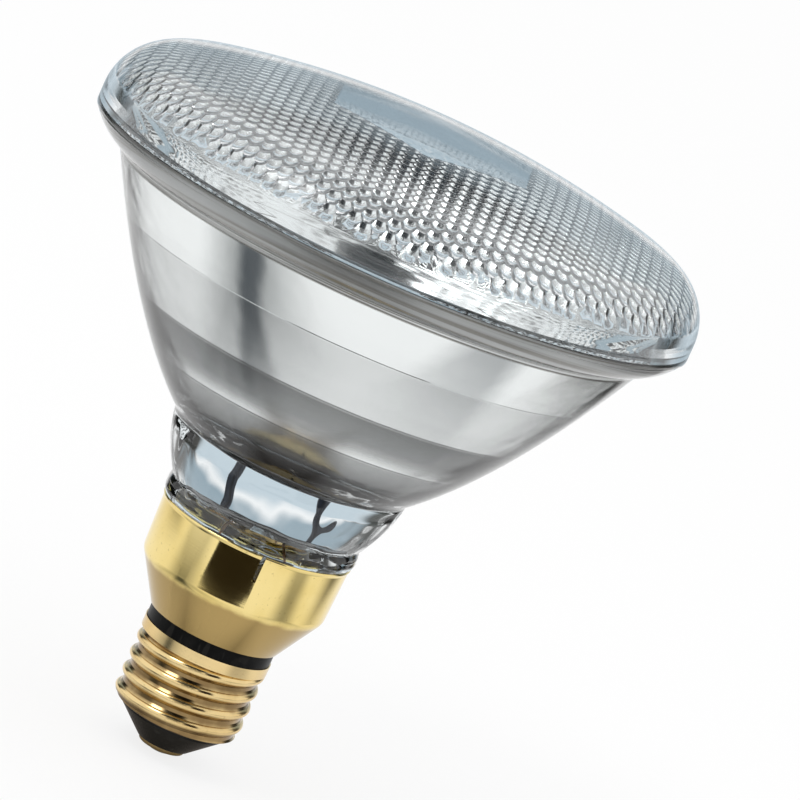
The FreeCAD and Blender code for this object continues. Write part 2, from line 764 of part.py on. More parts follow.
def build_centre_wire():
    """Down from its ferrule, over to the lamp's axis in two equal bends, and down to the solder."""
    body = new_body("centre_wire")
    path = new_sketch(body, "XZ_Plane", "Route")
    shift = number("post_spread")
    drop = number("wire_shift_length")
    bend = number("wire_bend")
    reach = math.hypot(shift - 2 * bend, drop)
    turn = math.asin(2 * bend / reach) - math.atan2(2 * bend - shift, drop)
    top, low = number("bend_top"), number("bend_end")
    across, along = bend * (1 - math.cos(turn)), bend * math.sin(turn)
    points = [(-shift, number("ferrule_foot")), (-shift, top), (across - shift, top - along),
              (-across, low + along), (0, low), (0, number("solder_drop"))]
    points = [FreeCAD.Vector(x, y, 0) for x, y in points]
    first = path.addGeometry(Part.LineSegment(points[0], points[1]), False)
    arc_one, _ = arc_between(points[1], points[2], bend, False)
    one = path.addGeometry(arc_one, False)
    slant = path.addGeometry(Part.LineSegment(points[2], points[3]), False)
    arc_two, _ = arc_between(points[3], points[4], bend, True)
    two = path.addGeometry(arc_two, False)
    last = path.addGeometry(Part.LineSegment(points[4], points[5]), False)
    for joint in ((first, 2, one, 1), (one, 2, slant, 1), (slant, 2, two, 2), (two, 1, last, 1)):
        path.addConstraint(Sketcher.Constraint("Tangent", *joint))
    tie_size(path, "Radius", [one], "wire_bend")
    tie_size(path, "Radius", [two], "wire_bend")
    tie_point(path, first, 1, "-post_spread", "ferrule_foot")
    tie_point(path, first, 2, "-post_spread", "bend_top")
    tie_point(path, last, 1, "0", "bend_end")
    tie_point(path, last, 2, "0", "solder_drop")
    sweep_wire(body, "ferrule_foot", "-post_spread", path)
    turn_about_axis(body, "mount_turn")
    return body


def build_side_wire():
    """Straight down from its ferrule, then out through the hole in the collar."""
    body = new_body("side_wire")
    path = new_sketch(body, "XZ_Plane", "Route")
    draw(path, [
        ("side_run", "ferrule_foot"),
        ("side_run", "side_level + side_bend"),
        ("side_run + side_bend", "side_level", "side_bend"),
        ("collar_radius", "side_level"),
    ], closed=False)
    sweep_wire(body, "ferrule_foot", "side_run", path)
    turn_about_axis(body, "mount_turn")
    return body


# Sleeve: a tube that keeps the centre wire off the shell and the skirt

def build_wire_sleeve():
    body = new_body("wire_sleeve")
    turned(body, [
        ("core_bore", "bend_end - sleeve_length"),
        ("core_bore + sleeve_wall", "bend_end - sleeve_length"),
        ("core_bore + sleeve_wall", "bend_end"),
        ("core_bore", "bend_end"),
    ])
    return body


# Side solder: a small mound on the collar over the end of the side wire

def build_side_solder():
    mound = doc.addObject("Part::Ellipsoid", "SolderMound")
    bind(mound, Radius1="side_solder_radius", Radius2="side_solder_height", Radius3="side_solder_radius",
         Placement__Base__x="collar_radius", Placement__Base__z="side_level")
    collar = doc.addObject("Part::Cylinder", "CollarFace")
    bind(collar, Radius="collar_radius + seat_gap", Height="shell_top")
    solder = doc.addObject("Part::Cut", "side_solder")
    solder.Base, solder.Tool = mound, collar
    solder.Refine = False
    solder.Label = "side_solder"
    turn_about_axis(solder, "mount_turn")
    return solder


PIECES = [
    build_lens(), build_reflector(), build_skirt(), build_skirt_ring(), build_screw_shell(),
    build_base_insulator(), build_centre_contact(), build_centre_solder(), build_side_solder(),
    build_filament(), build_exhaust_tube(), build_centre_wire(), build_side_wire(), build_wire_sleeve(),
]
for place, side in (("left", "-1"), ("right", "1")):
    PIECES.append(build_ferrule("ferrule_" + place, side))
    PIECES.append(build_post("post_" + place, side))
doc.recompute()

failed = [item.Name for item in doc.Objects if "Invalid" in item.State or "Error" in item.State]
failed += [piece.Label for piece in PIECES if piece.Shape.isNull() or not piece.Shape.isValid()]
if failed:
    raise RuntimeError("not built: " + ", ".join(failed))
for piece in PIECES:
    piece.Shape.exportStep("parts/%s.step" % piece.Label)
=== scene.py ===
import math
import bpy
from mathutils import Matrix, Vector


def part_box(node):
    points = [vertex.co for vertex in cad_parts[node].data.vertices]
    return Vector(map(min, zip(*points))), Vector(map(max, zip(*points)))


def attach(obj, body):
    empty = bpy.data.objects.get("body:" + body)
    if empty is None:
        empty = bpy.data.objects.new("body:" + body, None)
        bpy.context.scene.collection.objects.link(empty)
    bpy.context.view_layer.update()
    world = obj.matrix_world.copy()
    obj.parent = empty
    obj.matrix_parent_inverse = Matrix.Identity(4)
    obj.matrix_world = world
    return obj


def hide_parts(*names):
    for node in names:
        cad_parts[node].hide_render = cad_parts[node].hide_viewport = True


bl_info = {
    "name": "Reflector lamp",
    "version": (1, 0, 0),
    "blender": (4, 5, 0),
    "location": "3D View > Sidebar > Lamp",
    "description": "Dresses the packed reflector lamp: glass, silver coat, brass cap and a white studio",
    "category": "Object",
}

import bmesh
import bpy
from bpy.props import FloatProperty, FloatVectorProperty, IntProperty, PointerProperty
from bpy.types import Operator, Panel, PropertyGroup
from mathutils import Matrix, Vector

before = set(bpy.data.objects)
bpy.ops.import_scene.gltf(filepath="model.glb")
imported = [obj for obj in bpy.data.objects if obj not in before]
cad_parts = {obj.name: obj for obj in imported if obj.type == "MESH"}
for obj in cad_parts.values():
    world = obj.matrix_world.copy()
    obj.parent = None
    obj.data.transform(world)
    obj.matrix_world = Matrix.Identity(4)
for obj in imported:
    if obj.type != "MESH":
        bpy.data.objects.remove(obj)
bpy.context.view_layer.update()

MM = 0.001
BODY = "root"
FULL_TURN = 2 * math.pi
TURN_STEPS = 256
CREASE, BOWL_CREASE = math.radians(38), math.radians(50)

# Points closer than the first are one, and a point closer than the second to a plane lies on it
WELD = 2e-7
NEAR = WELD * 10


def number(name, description, default, **limits):
    return FloatProperty(name=name, description=description, default=default, min=0, **limits)


def length(name, description, default):
    return number(name, description, default, unit="LENGTH", precision=5)


def angle(name, description, degrees):
    return FloatProperty(name=name, description=description, default=math.radians(degrees), subtype="ANGLE")


def point(name, description, default):
    return FloatVectorProperty(name=name, description=description, default=default, subtype="XYZ",
                               unit="LENGTH")


def colour(name, description, default):
    return FloatVectorProperty(name=name, description=description, default=default, size=3, min=0, max=1,
                               subtype="COLOR")


class LensSizes(PropertyGroup):
    seam: length("Seam", "Level of the joint between lens and bowl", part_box("lens")[0].z)
    rim_radius: length("Rim radius", "Outer radius of the lens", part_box("lens")[1].x)
    side: length("Side", "Height of the straight side above the seam", 1.9 * MM)
    knuckle: length("Knuckle", "Radius of the rounded shoulder", 11.5 * MM)
    crown: length("Crown", "Radius of curvature of the front", 208.7 * MM)
    wall: length("Wall", "Thickness of the glass", 4.0 * MM)
    edge: length("Edge", "Bevel of the edge at the seam", 0.15 * MM)
    seam_gap: length("Seam gap", "Half of the gap between lens and bowl at the seam", 0.02 * MM)
    bump_pitch: length("Bump pitch", "Distance between neighbouring lens bumps", 2.771 * MM)
    bump_depth: length("Bump depth", "How far a bump stands into the lamp", 0.62 * MM)
    field: length("Field", "Run from the axis, along the glass, to the last bump's middle", 58.4 * MM)
    hexagon: length("Hexagon", "Radius over the corners of the plain hexagon", 22.5 * MM)
    cuts: IntProperty(name="Cuts", description="Cuts along each edge of a bump's triangles", default=2,
                      min=1, max=3)


class BowlSizes(PropertyGroup):
    focal_length: length("Focal length", "Focal length of the bowl", 13.75 * MM)
    outer_vertex: length("Outer vertex", "Level of the outer face's vertex", 54.4 * MM)
    inner_vertex: length("Inner vertex", "Level of the mirror's vertex", 60.4 * MM)
    shoulder: length("Shoulder", "Level where the neck ends and the bands start", 65.2 * MM)
    low_step: length("Low step", "Level of the step above the lowest band", 77.1 * MM)
    middle_step: length("Middle step", "Level of the step above the second band", 86.2 * MM)
    high_step: length("High step", "Level of the step under the top band", 98.3 * MM)
    band_step: length("Band step", "Depth of the step between two bands", 0.2 * MM)
    flange_level: length("Flange level", "Foot of the flange", 108.7 * MM)
    flange_run: length("Flange run", "How far the flange's slope starts outside the bowl", 1.4 * MM)
    flange_face: length("Flange face", "Level of the outer edge of the flange's slope", 113.7 * MM)
    flange_bow: length("Flange bow", "Radius of the flange's curved underside", 12 * MM)
    edge: length("Edge", "Bevel of the rim's edges", 0.15 * MM)
    floor: length("Floor", "Level of the floor's underside", 55.2 * MM)
    floor_corner: length("Floor corner", "Radius of the corner under the floor", 2.5 * MM)
    bore: length("Bore", "Inner radius of the neck", 15.27 * MM)
    neck_foot: length("Neck foot", "Level of the neck's foot", 40.5 * MM)
    neck_low: length("Neck low radius", "Outer radius at the neck's foot", 18.57 * MM)
    neck_radius: length("Neck radius", "Outer radius where the neck leaves the skirt", 18.85 * MM)
    foot_round: length("Foot round", "Radius of the rounded edge of the neck's foot", 1.0 * MM)
    bead_foot: length("Bead foot", "Level of the foot of the bead on the skirt's lip", 48.9 * MM)
    bead_waist: length("Bead waist", "Radius below and above the bead", 19.55 * MM)
    bead_radius: length("Bead radius", "Radius of the bead", 20.0 * MM)
    bead_height: length("Bead height", "Height of the bead", 3.7 * MM)
    waist_bow: length("Waist bow", "Radius of the neck's curve from the bead to the shoulder", 30 * MM)


class SkirtSizes(PropertyGroup):
    foot: length("Foot", "Level of the foot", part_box("skirt")[0].z)
    top: length("Top", "Level of the lip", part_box("skirt")[1].z)
    foot_radius: length("Foot radius", "Outer radius at the foot", 13.4 * MM)
    knee_radius: length("Knee radius", "Outer radius where the cone ends", 18.64 * MM)
    knee_level: length("Knee level", "Level where the cone ends", 36.3 * MM)
    low_radius: length("Low radius", "Outer radius at the foot of the side", 19.05 * MM)
    side_level: length("Side level", "Level of the foot of the side", 37.82 * MM)
    corner: length("Corner", "Radius of the rounded knee", 3.0 * MM)
    radius: length("Radius", "Outer radius under the lip", 19.45 * MM)
    lip: length("Lip", "How far the lip stands out", 0.25 * MM)
    wall: length("Wall", "Thickness of the brass", 0.4 * MM)
    cone_wall: length("Cone wall", "Thickness of the cone, measured across the axis", 0.46 * MM)
    slot_width: length("Slot width", "Width of a slot in the lip", 0.8 * MM)
    slot_depth: length("Slot depth", "Depth of a slot below the lip", 5.6 * MM)
    slot_turn: angle("Slot turn", "Direction of the first slot, from the right", -80)
    slot_count: IntProperty(name="Slots", description="Slots round the lip", default=3, min=1, max=8)


class FinishColours(PropertyGroup):
    lens: colour("Lens", "Tint of the lens's glass", (0.95, 0.975, 0.985))
    bowl: colour("Bowl", "Tint of the bowl's and the exhaust tube's glass", (0.93, 0.965, 0.975))
    silver: colour("Silver", "Silver coat seen from within", (0.94, 0.94, 0.93))
    # Painted dark streaks, shown only from outside, on the coat behind the flange
    flange: colour("Flange", "Streaks on the coat behind the flange", (0.17, 0.155, 0.13))
    skirt: colour("Skirt", "Polished brass of the skirt", (0.93, 0.75, 0.33))
    skirt_tarnish: colour("Skirt tarnish", "Tarnished patches on the skirt", (0.80, 0.61, 0.21))
    # Painted shade: the cone's dark tone stands for the dark that it reflects
    cone: colour("Cone", "Dull brass of the skirt's cone", (0.44, 0.31, 0.12))
    shell: colour("Shell", "Polished brass of the screw shell", (0.86, 0.66, 0.33))
    shell_tarnish: colour("Shell tarnish", "Tarnished patches on the screw shell", (0.66, 0.45, 0.18))
    # Painted shade: the dark tone at the thread's roots
    groove: colour("Groove", "Dull brass in the thread's grooves", (0.26, 0.17, 0.075))
    contact: colour("Contact", "Brass of the centre contact", (0.70, 0.54, 0.27))
    contact_tarnish: colour("Contact tarnish", "Tarnished patches on the contact", (0.5, 0.36, 0.16))
    ring: colour("Ring", "Black of the skirt ring", (0.003, 0.003, 0.003))
    insulator: colour("Insulator", "Black of the base insulator", (0.004, 0.004, 0.003))
    solder: colour("Solder", "Light patches of the solder", (0.72, 0.72, 0.70))
    solder_dull: colour("Dull solder", "Dark patches of the solder", (0.5, 0.5, 0.48))
    tungsten: colour("Tungsten", "Light patches of the filament", (0.34, 0.34, 0.35))
    tungsten_dull: colour("Dull tungsten", "Dark patches of the filament", (0.22, 0.22, 0.23))
    nickel: colour("Nickel", "Light patches of the posts", (0.70, 0.67, 0.62))
    nickel_dull: colour("Dull nickel", "Dark patches of the posts", (0.56, 0.54, 0.5))
    ferrule: colour("Ferrule", "Light patches of the ferrules", (0.46, 0.43, 0.40))
    ferrule_dull: colour("Dull ferrule", "Dark patches of the ferrules", (0.28, 0.26, 0.24))
    wire: colour("Wire", "Light patches of the lead wires", (0.76, 0.48, 0.33))
    wire_dull: colour("Dull wire", "Dark patches of the lead wires", (0.55, 0.33, 0.22))
    sleeve: colour("Sleeve", "Clean weave of the wire's sleeve", (0.72, 0.70, 0.62))
    sleeve_soiled: colour("Soiled sleeve", "Soiled weave of the wire's sleeve", (0.58, 0.55, 0.47))


class StudioSettings(PropertyGroup):
    floor_colour: colour("Floor", "Colour of the floor", (0.9, 0.9, 0.9))
    floor_radius: length("Floor radius", "Radius of the floor", 30)
    card_level: length("Card level", "Level of the axis that the hung cards face", 90 * MM)
    key_place: point("Key place", "Middle of the soft lamp", (-0.6, -0.5, 1.1))
    key_target: point("Key target", "Point that the soft lamp faces", (0, 0, 0.1))
    key_size: length("Key size", "Diameter of the soft lamp", 0.5)
    key_power: number("Key power", "Power of the soft lamp", 3, unit="POWER")
    roll: angle("Roll", "Lean of the camera about its own line of sight", 24.2)
    elevation: angle("Elevation", "Camera's height above the horizon", 13.0)
    distance: length("Distance", "From the camera to the aimed point on the axis", 1.0)
    aim_level: length("Aim level", "Level of the aimed point", 65 * MM)
    aim_across: number("Aim across", "Where the picture shows the point, from the left", 0.364875, max=1)
    aim_down: number("Aim down", "Where the picture shows the point, from the top", 0.566375, max=1)
    film: number("Film", "Width of the film in millimetres", 36)
    focus: number("Focal length", "Focal length of the camera in millimetres", 233.6535)


# Materials

class Wire:
    """A socket of a material's tree, with arithmetic that adds Math nodes."""

    def __init__(self, paint, socket):
        self.paint, self.socket = paint, socket

    def math(self, operation, *others):
        return self.paint.add("ShaderNodeMath", {"operation": operation}, dict(enumerate((self, *others))))

    def __add__(self, other):
        return self.math("ADD", other)

    def __sub__(self, other):
        return self.math("SUBTRACT", other)

    def __rsub__(self, other):
        return self.paint.add("ShaderNodeMath", {"operation": "SUBTRACT"}, {0: other, 1: self})

    def __mul__(self, other):
        return self.math("MULTIPLY", other)

    def __truediv__(self, other):
        return self.math("DIVIDE", other)

    def __rtruediv__(self, other):
        return self.paint.add("ShaderNodeMath", {"operation": "DIVIDE"}, {0: other, 1: self})

    def __pow__(self, other):
        return self.math("POWER", other)

    def __rpow__(self, other):
        return self.paint.add("ShaderNodeMath", {"operation": "POWER"}, {0: other, 1: self})

    __radd__, __rmul__ = __add__, __mul__


class Paint:
    """One material and its nodes."""

    def __init__(self, name):
        self.material = bpy.data.materials.new(name)
        self.material.use_nodes = True
        self.material.node_tree.nodes.clear()

    def add(self, kind, settings=None, inputs=None, output=0):
        """Add a node: its settings first, then the values or links of its inputs."""
        node = self.material.node_tree.nodes.new(kind)
        for name, value in (settings or {}).items():
            if name == "stops":
                self.set_stops(node.color_ramp.elements, value)
            else:
                setattr(node, name, value)
        for name, value in (inputs or {}).items():
            if isinstance(value, Wire):
                self.material.node_tree.links.new(value.socket, node.inputs[name])
            else:
                node.inputs[name].default_value = value
        return Wire(self, node.outputs[output]) if node.outputs else None

    @staticmethod
    def set_stops(elements, stops):
        for index, (place, tone) in enumerate(stops):
            stop = elements[index] if index < len(elements) else elements.new(place)
            stop.position, stop.color = place, (*tone, 1)

    def place(self):
        """The point on the piece, in the lamp's own frame."""
        return self.add("ShaderNodeTexCoord", output="Object")

    def part(self, letter):
        """One coordinate of the point: X, Y or Z."""
        return self.add("ShaderNodeSeparateXYZ", {}, {0: self.place()}, output=letter)

    def from_axis(self):
        """Distance from the lamp's axis."""
        return (self.part("X") ** 2 + self.part("Y") ** 2) ** 0.5

    def noise(self, scale, detail=2.0, stretch=(1, 1, 1), roughness=0.5):
        """Noise from 0 to 1 at a number of features to the metre."""
        point = self.add("ShaderNodeMapping", {}, {"Vector": self.place(), "Scale": stretch})
        return self.add("ShaderNodeTexNoise", {},
                        {"Vector": point, "Scale": scale, "Detail": detail, "Roughness": roughness})

    def span(self, value, low, high, to_low=0.0, to_high=1.0):
        """The value moved smoothly from one span to another."""
        inputs = {"Value": value, "From Min": low, "From Max": high, "To Min": to_low, "To Max": to_high}
        return self.add("ShaderNodeMapRange", {"interpolation_type": "SMOOTHSTEP"}, inputs)

    def blend(self, amount, first, second):
        """One colour fading into another."""
        return self.add("ShaderNodeMix", {"data_type": "RGBA"},
                        {0: amount, 6: first if isinstance(first, Wire) else (*first, 1),
                         7: second if isinstance(second, Wire) else (*second, 1)}, output=2)

    def bump(self, height, strength, distance):
        return self.add("ShaderNodeBump", {}, {"Height": height, "Strength": strength, "Distance": distance})

    def surface(self, **sockets):
        """Finish with one Principled shader. An underscore in a name stands for a space."""
        inputs = {name.replace("_", " "): value for name, value in sockets.items()}
        shader = self.add("ShaderNodeBsdfPrincipled", {}, inputs)
        self.add("ShaderNodeOutputMaterial", {}, {"Surface": shader})
        return self.material


def clear_glass(name, tint, waviness, rippled=0.0):
    """Pressed glass: clear, with the slow waviness of the mould, and stronger ripples below a level."""
    paint = Paint(name)
    waves = paint.noise(55, 1.0)
    fine = paint.noise(420, 2.0)
    if rippled:
        below = paint.span(paint.part("Z"), rippled, rippled * 0.94)
        waves = waves + paint.noise(110, 1.0, (1, 1, 0.6)) * below * 18.0
    smears = paint.span(paint.noise(70, 3.0, (1, 1, 0.4)), 0.55, 0.8)
    return paint.surface(
        Base_Color=paint.blend(paint.noise(30), tint, tuple(t * 0.97 for t in tint)),
        Roughness=smears * 0.05 + 0.005,
        IOR=1.47,
        Transmission_Weight=1.0,
        Normal=paint.bump(waves + fine * 0.04, waviness, 0.4 * MM),
    )


def silver_coat(sizes, tones):
    """Metal film on the inside of the bowl, bright from within. Seen from outside, through the glass, it
    carries a painted reflection: a grey that changes from band to band, with painted dark streaks at the
    flange, where it is also dull."""
    paint = Paint("silver_coat")
    # From each level up: the rise in mm and the grey of the painted reflection there
    bands = (
        (sizes.shoulder, ((0, 0.15), (1.3, 0.22), (2.7, 0.60), (4.8, 0.42), (7.1, 0.18), (9.8, 0.34),
                          (11.6, 0.40))),
        (sizes.low_step, ((0.3, 0.95), (2.3, 0.45), (3.9, 0.27), (8.7, 0.16))),
        (sizes.middle_step, ((0.3, 0.78), (11.7, 0.72))),
        (sizes.high_step, ((0.3, 0.95), (9.6, 0.95))),
        (sizes.flange_level, ((0.1, 0.85), (1.7, 0.72), (2.5, 0.40))),
    )
    low, whole = sizes.shoulder, sizes.flange_face - sizes.shoulder
    stops = [((foot + rise * MM - low) / whole, (grey, grey * 0.995, grey * 0.98))
             for foot, reflection_greys in bands for rise, grey in reflection_greys]
    level = paint.part("Z")
    # Painted reflection: the greys that the coat shows from outside, band by band
    film = paint.add("ShaderNodeValToRGB", {"stops": stops}, {0: (level - low) / whole})
    outside = paint.add("ShaderNodeNewGeometry", output="Backfacing")
    # Painted dark streaks behind the flange, only on the coat's outside face
    flange = outside * paint.span(level, sizes.flange_level - 0.7 * MM, sizes.flange_level)
    painted_streaks = paint.span(paint.noise(40, 2.0, (0.2, 0.2, 40)), 0.42, 0.62)
    film = paint.blend(flange * painted_streaks, film, tones.flange)
    clouds = paint.noise(35, 4.0, (1, 1, 0.6))
    flecks = paint.span(paint.noise(900, 2.0), 0.62, 0.75)
    dull = paint.span(level, sizes.high_step - 0.3 * MM, sizes.high_step + 7.7 * MM, 0.05, 0.01)
    # The painted reflection, clouded towards a grey
    painted_reflection_tone = paint.blend(clouds * 0.2, film, (0.62, 0.63, 0.64))
    return paint.surface(
        # The coat's own silver from within, the painted reflection from outside
        Base_Color=paint.blend(outside, tones.silver, painted_reflection_tone),
        Metallic=1.0,
        Roughness=clouds * 0.05 + flecks * 0.03 + dull + flange * 0.3,
        Normal=paint.bump(paint.noise(90, 2.0), 0.12, 0.5 * MM),
    )


def brass(name, light, dark, roughness, lines, relief=0.1, painted_shade_by_radius=None):
    """Spun or rolled brass: fine lines round the axis and faint tarnish. Painted shade by radius, if given,
    goes from a dark tone at a low radius to the brass's own tone at a high one."""
    paint = Paint(name)
    tarnish = paint.span(paint.noise(60, 4.0), 0.35, 0.75)
    rings = paint.noise(40, 3.0, (0.15, 0.15, lines))
    specks = paint.span(paint.noise(1400, 2.0), 0.66, 0.74)
    tone = paint.blend(tarnish, light, dark)
    # Painted shade: a dark tone below one radius, fading to the brass's own tone above another
    if painted_shade_by_radius:
        low, high, painted_shade_tone = painted_shade_by_radius
        unshaded_share = paint.span(paint.from_axis() + (paint.noise(300, 3.0) - 0.5) * (high - low), low, high)
        tone = paint.blend(unshaded_share, painted_shade_tone, tone)
    return paint.surface(
        Base_Color=paint.blend(specks * 0.4, tone, tuple(d * 0.5 for d in dark)),
        Metallic=1.0,
        Roughness=tarnish * 0.05 + rings * 0.05 + roughness,
        Normal=paint.bump(rings * 0.3 + paint.noise(130, 2.0), relief, 0.15 * MM),
    )


def moulded_black(name, tone, roughness, gloss):
    """Black moulding: a dull skin with dust and small scuffs."""
    paint = Paint(name)
    dust = paint.span(paint.noise(260, 4.0), 0.5, 0.8)
    scuffs = paint.span(paint.noise(900, 1.0, (1, 1, 0.2)), 0.62, 0.7)
    return paint.surface(
        Base_Color=paint.blend(dust * 0.12 + scuffs * 0.1, tone, (0.09, 0.085, 0.075)),
        Roughness=dust * 0.15 + roughness,
        Specular_IOR_Level=gloss,
        Normal=paint.bump(paint.noise(700, 3.0), 0.15, 0.1 * MM),
    )


def drawn_metal(name, light, dark, roughness, seal=0.0):
    """Plain metal with a drawn or cast skin, blackened by the heat of its glass seal up to a level."""
    paint = Paint(name)
    patches = paint.noise(300, 3.0)
    tone = paint.blend(patches, light, dark)
    if seal:
        tone = paint.blend(paint.span(paint.part("Z"), seal, seal * 1.04), (0.03, 0.035, 0.045), tone)
    return paint.surface(
        Base_Color=tone,
        Metallic=1.0,
        Roughness=patches * 0.2 + roughness,
        Normal=paint.bump(paint.noise(1500, 2.0), 0.1, 0.05 * MM),
    )


def woven_sleeve(clean, soiled):
    """Glass fibre sleeve: a fine crossed weave, soiled in patches."""
    paint = Paint("woven_sleeve")
    threads = paint.add("ShaderNodeTexChecker", {}, {"Vector": paint.place(), "Scale": 2600.0}, output="Fac")
    soiling = paint.noise(400, 3.0)
    return paint.surface(
        Base_Color=paint.blend(soiling, clean, soiled),
        Roughness=soiling * 0.1 + 0.8,
        Normal=paint.bump(threads, 0.3, 0.05 * MM),
    )


# Turned shapes

def arc(across, along, radius, start, end, steps):
    """Points of an arc about (across, along). Angles are in radians above the horizontal."""
    turn = (end - start) / steps
    return [(across + radius * math.cos(start + turn * step), along + radius * math.sin(start + turn * step))
            for step in range(steps + 1)]


def bow(start, end, radius, steps):
    """Points from start to end on an arc. A positive radius bulges to the right of the way there."""
    start, end = Vector(start), Vector(end)
    chord = end - start
    side = Vector((-chord.y, chord.x)).normalized()
    away = math.sqrt(radius ** 2 - (chord.length / 2) ** 2)
    centre = (start + end) / 2 + side * away * math.copysign(1, radius)
    first = math.atan2(start.y - centre.y, start.x - centre.x)
    last = math.atan2(end.y - centre.y, end.x - centre.x)
    swing = (last - first + math.pi) % FULL_TURN - math.pi
    return arc(*centre, abs(radius), first, first + swing, steps)


def straight(start, end, hold=0.02):
    """Points from start to end, with one close to either end that keeps the shading between them even."""
    start, end = Vector(start), Vector(end)
    return [tuple(start.lerp(end, share)) for share in (0, hold, 1 - hold, 1)]


def spin_profile(bm, points, slot=0):
    """Turn a line of (radius, level) points once about the lamp's axis and add it to the mesh."""
    turned = bmesh.new()
    verts = [turned.verts.new((radius, 0, level)) for radius, level in points]
    edges = [turned.edges.new(pair) for pair in zip(verts, verts[1:])]
    bmesh.ops.spin(turned, geom=verts + edges, cent=(0, 0, 0), axis=(0, 0, 1), angle=FULL_TURN,
                   steps=TURN_STEPS, use_merge=True)
    for face in turned.faces:
        face.material_index = slot
    mesh = bpy.data.meshes.new("turned")
    turned.to_mesh(mesh)
    turned.free()
    bm.from_mesh(mesh)
    bpy.data.meshes.remove(mesh)


def close_up(bm, crease):
    """Weld the seams and poles, turn every face outwards and keep edges sharper than the crease."""
    bmesh.ops.remove_doubles(bm, verts=bm.verts, dist=WELD)
    bmesh.ops.dissolve_degenerate(bm, edges=bm.edges, dist=WELD)
    bmesh.ops.recalc_face_normals(bm, faces=bm.faces)
    for face in bm.faces:
        face.smooth = True
    for edge in bm.edges:
        if edge.is_manifold and edge.calc_face_angle(0) > crease:
            edge.smooth = False


def finish_piece(bm, name, materials, node):
    """Make the mesh an object of the lamp that stands for a CAD node."""
    mesh = bpy.data.meshes.new(name)
    bm.to_mesh(mesh)
    bm.free()
    piece = bpy.data.objects.new(name, mesh)
    bpy.context.scene.collection.objects.link(piece)
    for material in materials:
        mesh.materials.append(material)
    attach(piece, BODY)
    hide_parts(node)


# Lens

class LensForm:
    """The lens's two profiles: a crown and a rounded shoulder outside, and the same a wall further in."""

    def __init__(self, sizes):
        self.axis = sizes.rim_radius - sizes.knuckle
        self.level = sizes.seam + sizes.side
        self.lean = math.asin(self.axis / (sizes.crown - sizes.knuckle))
        self.centre = self.level - (sizes.crown - sizes.knuckle) * math.cos(self.lean)
        self.inner = sizes.crown - sizes.wall
        self.corner = sizes.knuckle - sizes.wall
        self.crown_run = self.inner * self.lean
        # The last bumps' corners reach 0.58 of a pitch from their middles
        self.field_edge = sizes.field + sizes.bump_pitch * 0.6
        self.apothem = sizes.hexagon * math.cos(math.radians(30))
        turns = [math.radians(60 * side) for side in range(6)]
        self.sides = [Vector((math.cos(turn), math.sin(turn), 0)) for turn in turns]

    def beyond_hexagon(self, point):
        """How far a point lies outside the hexagon. Inside it the distance is negative."""
        return max(point.dot(side) for side in self.sides) - self.apothem

    def wrap(self, point):
        """Move a point of the flat sheet onto the inner face. Its height goes along the face's normal."""
        run = point.to_2d().length
        if run < WELD:
            return Vector((0, 0, self.centre + self.inner + point.z))
        if run < self.crown_run:
            lean = run / self.inner
            radius, level, reach = 0, self.centre, self.inner + point.z
        else:
            lean = self.lean + (run - self.crown_run) / self.corner
            radius, level, reach = self.axis, self.level, self.corner + point.z
        across = (radius + reach * math.sin(lean)) / run
        return Vector((point.x * across, point.y * across, level + reach * math.cos(lean)))


def bump_cell(sizes):
    """One hexagonal bump: a fan of small triangles on a spherical cap that hangs down."""
    reach = sizes.bump_pitch / math.sqrt(3)
    curve = (reach ** 2 + sizes.bump_depth ** 2) / (2 * sizes.bump_depth)
    bm = bmesh.new()
    bmesh.ops.create_circle(bm, cap_ends=True, cap_tris=True, segments=6, radius=reach,
                            matrix=Matrix.Rotation(math.radians(30), 4, "Z"))
    bmesh.ops.subdivide_edges(bm, edges=bm.edges, cuts=sizes.cuts, use_grid_fill=True)
    for vert in bm.verts:
        out = vert.co.to_2d().length
        vert.co.z = math.sqrt(curve ** 2 - reach ** 2) - math.sqrt(curve ** 2 - min(out, reach) ** 2)
    cell = bpy.data.meshes.new("bump_cell")
    bm.to_mesh(cell)
    bm.free()
    return cell


def bump_places(sizes):
    """Middles of the bumps, in columns that run away from the viewer."""
    column = sizes.bump_pitch * math.sqrt(3) / 2
    columns, rows = int(sizes.field / column) + 1, int(sizes.field / sizes.bump_pitch) + 1
    places = [Vector((across * column, (along + (across % 2) / 2) * sizes.bump_pitch, 0))
              for across in range(-columns, columns + 1) for along in range(-rows, rows + 1)]
    return [place for place in places if place.length < sizes.field]


def lay_bumps(bm, cell, places):
    """Copy the bump to each place and weld the copies."""
    here = Vector()
    for place in places:
        cell.transform(Matrix.Translation(place - here))
        bm.from_mesh(cell)
        here = place
    cell.transform(Matrix.Translation(-here))
    bmesh.ops.remove_doubles(bm, verts=bm.verts, dist=NEAR * 2)


def press_inner_face(bm, sizes, form):
    """The inner face as a flat sheet: bumps, a raised plain hexagon among them, and a plain margin."""
    cell = bump_cell(sizes)
    places = bump_places(sizes)
    crossed = [place for place in places if abs(form.beyond_hexagon(place)) < sizes.bump_pitch]
    lay_bumps(bm, cell, crossed)
    for side in form.sides:
        bmesh.ops.bisect_plane(bm, geom=bm.verts[:] + bm.edges[:] + bm.faces[:], dist=WELD,
                               plane_co=side * form.apothem, plane_no=side)
    lay_bumps(bm, cell, [place for place in places if place not in crossed])
    bpy.data.meshes.remove(cell)
    for vert in bm.verts:
        if form.beyond_hexagon(vert.co) < NEAR:
            vert.co.z = -sizes.bump_depth
    bmesh.ops.create_circle(bm, segments=TURN_STEPS, radius=form.field_edge)
    outline = [edge for edge in bm.edges if edge.is_boundary or edge.is_wire]
    bmesh.ops.triangle_fill(bm, edges=outline, use_beauty=True, normal=(0, 0, -1))


